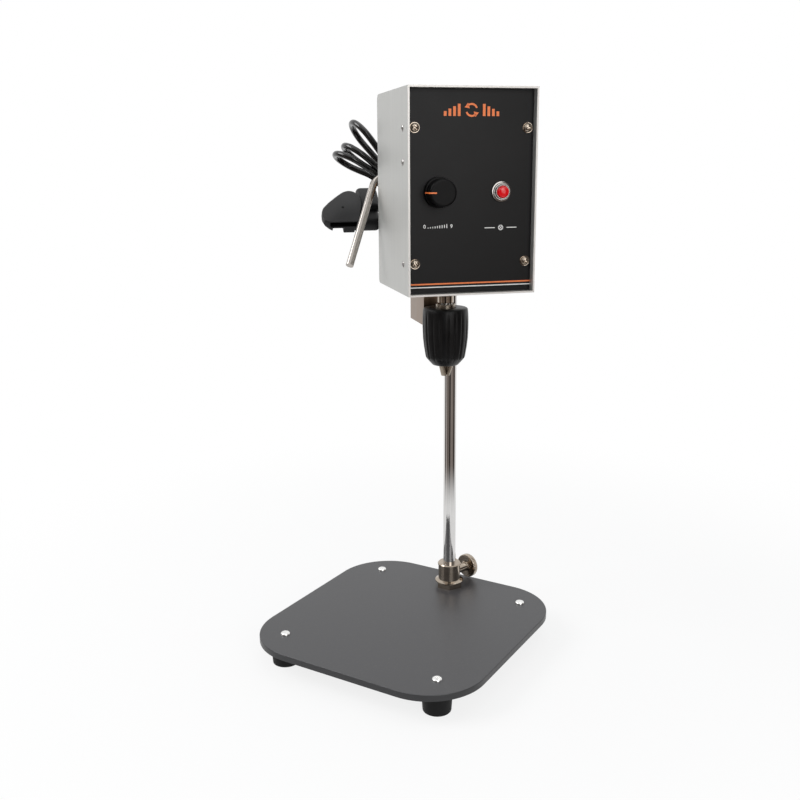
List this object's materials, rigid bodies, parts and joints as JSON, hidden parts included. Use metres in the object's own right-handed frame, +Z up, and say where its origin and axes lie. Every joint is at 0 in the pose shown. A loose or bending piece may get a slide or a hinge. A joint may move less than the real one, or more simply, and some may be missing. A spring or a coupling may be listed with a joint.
{
  "type": "overhead stirrer",
  "caption": "Plate-stand overhead stirrer: boxed motor head clamped on a column, keyless chuck, speed knob, indicator lamp, locking lever and hanked mains cord.",
  "frame": {"origin": "on the bench, at the centre of the outline of the stand without its cord", "axes": "+Z up along the column, -Y towards the front edge of the plate, the head turned 45 degrees about the column"},
  "size_m": [0.2402, 0.2379, 0.517],
  "materials": {
    "plate_paint": "satin dark grey powder coat",
    "foot_rubber": "matt black rubber",
    "bright_screws": "bright zinc",
    "nickel": "bright nickel plate",
    "column_chrome": "polished chrome plate",
    "case_metal": "satin aluminium sheet",
    "inner_steel": "plain zinc-plated steel",
    "panel_black": "matt black printed panel",
    "knob_black": "semi-gloss black moulding",
    "control_grey": "moulded control bodies",
    "bezel_chrome": "chromed bezel",
    "lens_red": "translucent red lens",
    "clamp_nickel": "satin nickel plate",
    "lever_steel": "polished steel",
    "motor_grey": "grey painted motor shell",
    "laminations": "varnished laminations",
    "shaft_steel": "ground steel",
    "copper": "copper segments",
    "carbon": "carbon",
    "fan_plastic": "moulded fan",
    "board_green": "solder-masked board",
    "chuck_black": "semi-gloss black moulding",
    "jaw_steel": "hardened ground steel",
    "cord_black": "glossy flexible cord sheath",
    "plug_black": "moulded plug",
    "pin_brass": "brass pins"
  },
  "bodies": {
    "stand": {"base_plate": "plate_paint", "rubber_feet": "foot_rubber", "foot_screws": "bright_screws", "foot_nuts": "inner_steel", "column_boss": "nickel", "boss_lock_nut": "nickel", "boss_washer": "inner_steel", "boss_base_nut": "inner_steel"},
    "thumb_screw": {"thumb_screw": "nickel"},
    "column": {"column_rod": "column_chrome"},
    "head": {"case_wrap": "case_metal", "case_side_left": "case_metal", "case_side_right": "case_metal", "panel_brackets": "inner_steel", "side_rivets": "case_metal", "front_panel": "panel_black", "panel_washers": "nickel", "panel_screws": "nickel", "pot_body": "control_grey", "control_nuts": "inner_steel", "indicator_bezel": "bezel_chrome", "indicator_lens": "lens_red", "indicator_body": "control_grey", "clamp_bracket": "clamp_nickel", "clamp_bolts": "inner_steel", "motor_plate": "inner_steel", "motor_plate_screws": "bright_screws", "spindle_nose": "nickel", "motor_lower_bell": "motor_grey", "motor_can": "motor_grey", "motor_upper_bell": "motor_grey", "motor_bearings": "shaft_steel", "stator": "laminations", "carbon_brushes": "carbon", "brush_holders": "pin_brass", "control_board": "board_green", "board_standoffs": "inner_steel", "board_parts": "case_metal", "strain_relief": "cord_black", "gland_nut": "control_grey", "power_cord_lead": "cord_black", "cord_hank": "cord_black", "cord_tie": "plug_black", "power_cord_tail": "cord_black", "plug_body": "plug_black", "plug_pins": "pin_brass"},
    "spindle": {"motor_shaft": "shaft_steel", "armature": "laminations", "commutator": "copper", "cooling_fan": "fan_plastic", "chuck_body": "jaw_steel"},
    "chuck_sleeve": {"chuck_sleeve": "chuck_black", "chuck_nut": "shaft_steel"},
    "jaw_1": {"jaw_1": "jaw_steel"},
    "jaw_2": {"jaw_2": "jaw_steel"},
    "jaw_3": {"jaw_3": "jaw_steel"},
    "speed_knob": {"speed_knob": "knob_black", "pot_shaft": "shaft_steel"},
    "clamp_lever": {"clamp_lever": "lever_steel"}
  },
  "joints": [
    {"name": "column_turn", "type": "hinge", "parent": "stand", "child": "column", "pos_m": [0, 0.088, 0.028], "axis": [0, 0, 1], "continuous": true},
    {"name": "thumb_screw_turn", "type": "hinge", "parent": "stand", "child": "thumb_screw", "pos_m": [0, 0.088, 0.0415], "axis": [0.2588, 0.9659, 0], "range_deg": [-720, 0]},
    {"name": "head_height", "type": "slide", "parent": "column", "child": "head", "axis": [0, 0, 1], "range_m": [-0.23, 0.045]},
    {"name": "clamp_lever_turn", "type": "hinge", "parent": "head", "child": "clamp_lever", "pos_m": [0, 0.088, 0.446], "axis": [-0.7071, -0.7071, 0], "range_deg": [-15, 50]},
    {"name": "speed_knob_turn", "type": "hinge", "parent": "head", "child": "speed_knob", "pos_m": [0.05233, -0.03221, 0.434], "axis": [-0.7071, 0.7071, 0], "range_deg": [-60, 240]},
    {"name": "spindle_spin", "type": "hinge", "parent": "head", "child": "spindle", "pos_m": [0.02121, 0.0385, 0.3], "axis": [0, 0, -1], "continuous": true},
    {"name": "chuck_sleeve_turn", "type": "hinge", "parent": "spindle", "child": "chuck_sleeve", "pos_m": [0.02121, 0.0385, 0.3], "axis": [0, 0, -1], "range_deg": [0, 2520]},
    {"name": "jaw_1_slide", "type": "slide", "parent": "spindle", "child": "jaw_1", "axis": [-0.2185, 0.2185, 0.9511], "range_m": [0, 0.016]},
    {"name": "jaw_2_slide", "type": "slide", "parent": "spindle", "child": "jaw_2", "axis": [-0.08, -0.2985, 0.9511], "range_m": [0, 0.016]},
    {"name": "jaw_3_slide", "type": "slide", "parent": "spindle", "child": "jaw_3", "axis": [0.2985, 0.08, 0.9511], "range_m": [0, 0.016]}
  ],
  "couplings": [
    {"joint": "chuck_sleeve_turn", "follows": "jaw_1_slide", "rad_per_m": 2748.9},
    {"joint": "jaw_2_slide", "follows": "jaw_1_slide", "ratio": 1},
    {"joint": "jaw_3_slide", "follows": "jaw_1_slide", "ratio": 1}
  ]
}
